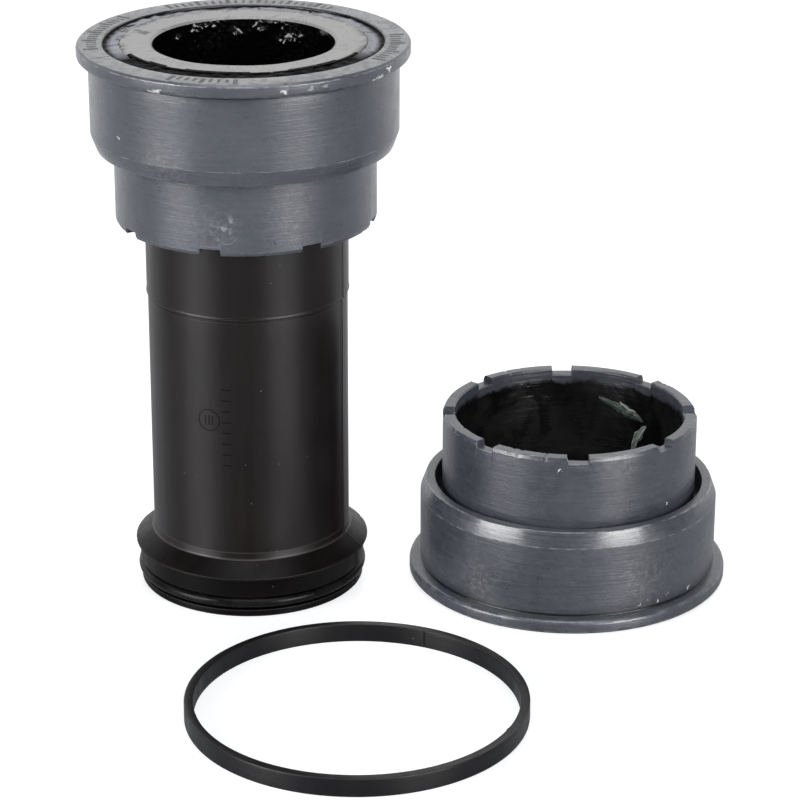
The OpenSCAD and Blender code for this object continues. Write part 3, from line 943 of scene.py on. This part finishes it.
STANDING = Matrix.Identity(4)
TURNED_OVER = (Matrix.Translation((0, 0, left_top)) @ Matrix.Rotation(math.radians(LEFT_TURN), 4, "Z")
               @ Matrix.Rotation(math.pi, 4, "X"))
RIGHT_WAY_UP = Matrix.Rotation(math.radians(RIGHT_TURN), 4, "Z")

# Darkest and lightest grey of each cup, the right cup's greys darker as painted shade, and how much painted
# shade darkens its relief groove
NYLON = {"left": ((60, 64, 72), (71, 74, 82), 0.35), "right": ((48, 52, 60), (60, 63, 72), 1.0)}
# Nicks and specks on each cup: (azimuth, radius, height, size, tone), around the cup's own axis
MARKS = {
    "left": [
        (-30.5, FLANGE_R, 75.7, 0.6, LIGHT_MARK), (-29.0, FLANGE_R, 75.4, 0.45, LIGHT_MARK),
        (-34.5, FLANGE_R, 74.9, 0.5, LIGHT_MARK), (-37.5, FLANGE_R, 74.75, 0.45, LIGHT_MARK),
        (-119, FLANGE_R, 74.7, 0.6, LIGHT_MARK), (-117.2, FLANGE_R, 74.95, 0.45, LIGHT_MARK),
        (-74.0, FLANGE_R, 75.3, 0.38, LIGHT_MARK),
        (-65.0, FLANGE_R, 75.45, 0.4, SCUFF), (-60.0, FLANGE_R, 75.5, 0.45, SCUFF),
        (-139.6, BODY_R, 67.1, 0.28, LIGHT_MARK), (-154, BODY_R, 66.7, 0.35, DARK_MARK),
        (-57.6, BODY_R, 66.0, 0.35, DARK_MARK), (-86, BODY_R, 62.3, 0.3, DARK_MARK),
        (-75, RING_OUTER_R, 54.2, 0.25, DARK_MARK),
    ],
    "right": [
        (-64, RING_OUTER_R, 16.7, 0.35, DARK_MARK), (-53.6, RING_OUTER_R, 16.7, 0.25, LIGHT_MARK),
        (-43.1, RING_OUTER_R, 15.0, 0.25, LIGHT_MARK), (-64, BODY_R, 2.9, 0.24, LIGHT_MARK),
        (-61, BODY_R, 3.3, 0.2, LIGHT_MARK), (-56, BODY_R, 2.8, 0.24, LIGHT_MARK),
        (-51.6, BODY_R, 3.2, 0.2, LIGHT_MARK), (-38.7, BODY_R, 2.9, 0.3, LIGHT_MARK),
        (-97, RING_OUTER_R, 21.9, 0.3, LIGHT_MARK),
    ],
}
SCRIBBLES = {"left": [(-95, RING_OUTER_R, 55.4, 2.2)], "right": [(-58, BODY_R, 2.6, 1.5)]}
SMUDGES = {
    "left": [(-68, RING_OUTER_R, 57.6, 3.4), (-100, RING_OUTER_R, 56.0, 2.6), (-118, BODY_R, 64.0, 3.0)],
    "right": [(-62, BODY_R, 7.0, 3.6), (-128, BODY_R, 5.0, 3.0), (-70, RING_OUTER_R, 22.4, 2.4)],
}
COVER_MARKS = [(164, 13.9, left_top / MM, 0.9, (12, 12, 13)), (161, 15.0, left_top / MM, 0.6, (20, 20, 22))]

# Blobs of grease in each cover's bore: (azimuth on the left cup, depth below the face, size, thickness)
BORE_BLOBS = [
    (122, 1.3, 1.0, 0.5), (117, 0.9, 0.6, 0.3), (98, 2.4, 0.7, 0.4), (81, 1.9, 0.8, 0.4), (72, 0.7, 1.0, 0.3),
    (78, 0.7, 0.9, 0.3), (61, 3.0, 0.8, 0.4), (55, 2.4, 0.5, 0.3), (66, 3.4, 0.5, 0.3), (140, 2.0, 0.7, 0.3),
    (30, 1.0, 0.9, 0.3), (200, 1.5, 1.0, 0.4), (280, 3.0, 1.2, 0.4), (320, 1.2, 0.8, 0.3),
]
SLEEVE_BLOBS = [(40, 60.0, 1.2, 0.4), (200, 57.0, 1.6, 0.4)]
SLEEVE_GREASE = (50.0, 66.6)           # heights between which the sleeve's bore is greasy
# Strings of fresh grease in the right cup's ring: (start, end, width, whether pale), ends as azimuth and height
STRINGS = [
    ((72, 19.8), (45, 17.2), 1.7, False),
    ((60, 19.6), (50, 18.2), 0.6, True),
    ((43, 16.9), (53, 12.6), 1.3, True),
]

cover_finish = cover_material()
ink = print_material()
grease = grease_material()
groove_finish = groove_grease_material()
steel = steel_material("race_steel", (150, 150, 148), 0.18, 0.34)
ball_finish = steel_material("ball_steel", (196, 197, 200), 0.05, 0.12, 0.05)
cage_finish = cage_material()
seal_finish = rubber_material("seal_rubber", 0.25, 0.45)
oring_finish = rubber_material("oring_rubber", 0.2, 0.36, 0.15)
sleeve_finish = black_plastic("sleeve_plastic", (11, 4, 4), (15, 7, 6), 0.28, 0.38)
# a darker, less glossy copy of the sleeve's plastic for its foot: painted shade
foot_shade_finish = black_plastic("sleeve_foot_painted_shade", (5, 3, 3), (9, 5, 5), 0.3, 0.4, 0.14)
# near black so that the low raised mark reads as engraved: painted shade
mark_shade_finish = black_plastic("moulded_mark", (1, 1, 1), (3, 2, 2), 0.45, 0.55, 0.2)
spacer_finish = black_plastic("spacer_plastic", (5, 4, 6), (10, 9, 11), 0.3, 0.42, 0.4, 0.05)

for side, axis, pose, seed in (("left", left_axis, TURNED_OVER, 11), ("right", right_axis, RIGHT_WAY_UP, 31)):
    cup_body, race_body = side + "_cup", side + "_race"
    low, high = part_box(side + "_cup_shell")
    nylon = cup_material(side + "_cup_nylon", *NYLON[side], MARKS[side], SCRIBBLES[side], SMUDGES[side])
    made = cup(side + "_cup_moulding", (high.z - low.z) / MM, seed)
    placed(made, axis, pose, cup_body, [nylon], [side + "_cup_shell"])
    placed(tick_marks(side + "_flange_ticks"), axis, pose, cup_body, [ink])
    made = dust_cover(side + "_cover", seed + 5)
    smear_rim(made, seed + 8)
    placed(made, axis, pose, race_body, [cover_finish, groove_finish], [side + "_dust_cover"])
    placed(groove_grease(side + "_groove_grease", seed + 6), axis, pose, cup_body, [groove_finish])
    blobs = [(LEFT_TURN - azimuth, depth, size, crown) for azimuth, depth, size, crown in BORE_BLOBS]
    made = bore_grease(side + "_bore_grease", seed + 7, COVER_BORE_R, 0.4, BARREL_END, blobs)
    placed(made, axis, pose, race_body, [grease])
    for node, finish in (("outer_race", steel), ("inner_race", steel), ("balls", ball_finish),
                         ("ball_cage", cage_finish), ("outer_seal", seal_finish), ("inner_seal", seal_finish)):
        refinish(f"{side}_{node}", finish)

tube = sleeve("inner_sleeve")
placed(tube, left_axis, STANDING, "sleeve", [sleeve_finish, foot_shade_finish], ["sleeve_tube"])
# the foot below the cone's top takes the darker copy, painted shade
for face in tube.data.polygons:
    face.material_index = int(face.center.z < (CONE[1] - 0.1) * MM)
mark = sleeve_mark("sleeve_moulded_mark")
placed(mark, left_axis, STANDING, "sleeve", [mark_shade_finish])
made = bore_grease("sleeve_bore_grease", 61, SLEEVE_BORE_R, *SLEEVE_GREASE, SLEEVE_BLOBS)
placed(made, left_axis, STANDING, "sleeve", [grease])
for node in ("sleeve_lower_oring", "sleeve_upper_oring"):
    refinish(node, oring_finish)

green_grease = pale_grease_material("green_grease", (10, 16, 14), (58, 76, 66))
pale_grease = pale_grease_material("pale_grease", (60, 74, 66), (196, 204, 194))
for n, (start, end, width, pale) in enumerate(STRINGS, 1):
    made = grease_string(f"right_ring_grease_{n}", RING_R, start, end, width)
    placed(made, right_axis, STANDING, "right_cup", [pale_grease if pale else green_grease])

washer = spacer("shell_spacer")
placed(washer, spacer_axis, STANDING, "spacer", [spacer_finish], ["spacer_ring"])


# ---------------------------------------------------------------- floor, light and camera
FLOOR_REACH = 4.0
# Lamps: (name, azimuth from the camera's side, elevation, distance, width, height, power)
LAMPS = (
    ("left_box", -57, 19, 0.9, 0.5, 0.5, 7.2),
    ("right_box", 41, 19, 0.9, 0.45, 0.5, 6.4),
    ("overhead_box", 0, 75, 0.8, 0.6, 0.6, 3.0),
    ("back_box", 180, 48, 0.9, 0.7, 0.4, 1.6),
)
CAMERA_LENS = 140.2
CAMERA_PITCH = 0.3774
CAMERA_ROLL = 0.0019
CAMERA_PLACE = (20.6, -397.3, 183.1)   # millimetres from the left cup's axis at floor level


def floor_material():
    """Pale glossy table that shows white to the camera, keeps the shadows and mirrors the lamps."""
    m = surface("pale_floor")
    seen = m.add("ShaderNodeLightPath")
    split = m.add("ShaderNodeSeparateXYZ", {"Vector": m.place})
    far_side = m.step(split.outputs["Y"], 0.0, 0.25, 0.05, 0.6)
    glow = m.maths("MAXIMUM", m.times(seen.outputs["Is Camera Ray"], 0.72),
                   m.times(seen.outputs["Is Glossy Ray"], far_side))
    m.link(glow, m.shader.inputs["Emission Strength"])
    m.shader.inputs["Emission Color"].default_value = (1, 1, 1, 1)
    return m.finish((158, 161, 166), 0.3, None, Specular_IOR_Level=0.8)


def add_floor():
    corners = [(x * FLOOR_REACH, y * FLOOR_REACH, 0) for x, y in ((-1, -1), (1, -1), (1, 1), (-1, 1))]
    floor = mesh_object("floor", corners, [(0, 1, 2, 3)])
    floor.data.materials.append(floor_material())


def add_softbox(name, azimuth, elevation, distance, width, height, power):
    """Area lamp aimed at the set: azimuth 0 is the camera's side, 90 the right."""
    a, e = math.radians(azimuth), math.radians(elevation)
    aim = Vector((left_axis.x + 0.02, left_axis.y, 0.035))
    away = Vector((math.sin(a) * math.cos(e), -math.cos(a) * math.cos(e), math.sin(e)))
    lamp = bpy.data.lights.new(name, "AREA")
    lamp.shape = "RECTANGLE"
    lamp.size = width
    lamp.size_y = height
    lamp.energy = power
    obj = bpy.data.objects.new(name, lamp)
    obj.location = aim + away * distance
    obj.rotation_mode = "QUATERNION"
    obj.rotation_quaternion = away.to_track_quat("Z", "Y")
    bpy.context.scene.collection.objects.link(obj)


def add_world():
    """White to the camera, and to the set white from behind, dim from in front and from above."""
    m = Nodes(bpy.data.worlds.new("studio"), "Generated")
    split = m.add("ShaderNodeSeparateXYZ", {"Vector": m.place})
    depth = m.step(split.outputs["Y"], 0.1, 0.6, 0.12, 1.0)
    ceiling = m.step(split.outputs["Z"], 0.45, 0.75, 1.0, 0.3)
    seen = m.add("ShaderNodeLightPath").outputs["Is Camera Ray"]
    background = m.tree.nodes["Background"]
    background.inputs["Color"].default_value = (1, 1, 1, 1)
    m.link(m.maths("MAXIMUM", seen, m.times(depth, ceiling)), background.inputs["Strength"])
    bpy.context.scene.world = m.owner


def add_camera():
    data = bpy.data.cameras.new("camera")
    data.lens = CAMERA_LENS
    data.sensor_width = 36.0
    data.clip_start = 0.01
    camera = bpy.data.objects.new("camera", data)
    c, s = math.cos(CAMERA_ROLL), math.sin(CAMERA_ROLL)
    cp, sp = math.cos(CAMERA_PITCH), math.sin(CAMERA_PITCH)
    right = Vector((c, s * sp, s * cp))
    up = Vector((-s, c * sp, c * cp))
    back = right.cross(up)
    place = Vector((left_axis.x, left_axis.y, 0)) + Vector(CAMERA_PLACE) * MM
    camera.matrix_world = Matrix((
        (right.x, up.x, back.x, place.x),
        (right.y, up.y, back.y, place.y),
        (right.z, up.z, back.z, place.z),
        (0, 0, 0, 1),
    ))
    bpy.context.scene.collection.objects.link(camera)
    bpy.context.scene.camera = camera


add_floor()
add_world()
for lamp in LAMPS:
    add_softbox(*lamp)
add_camera()
bpy.context.scene.view_settings.view_transform = "Standard"
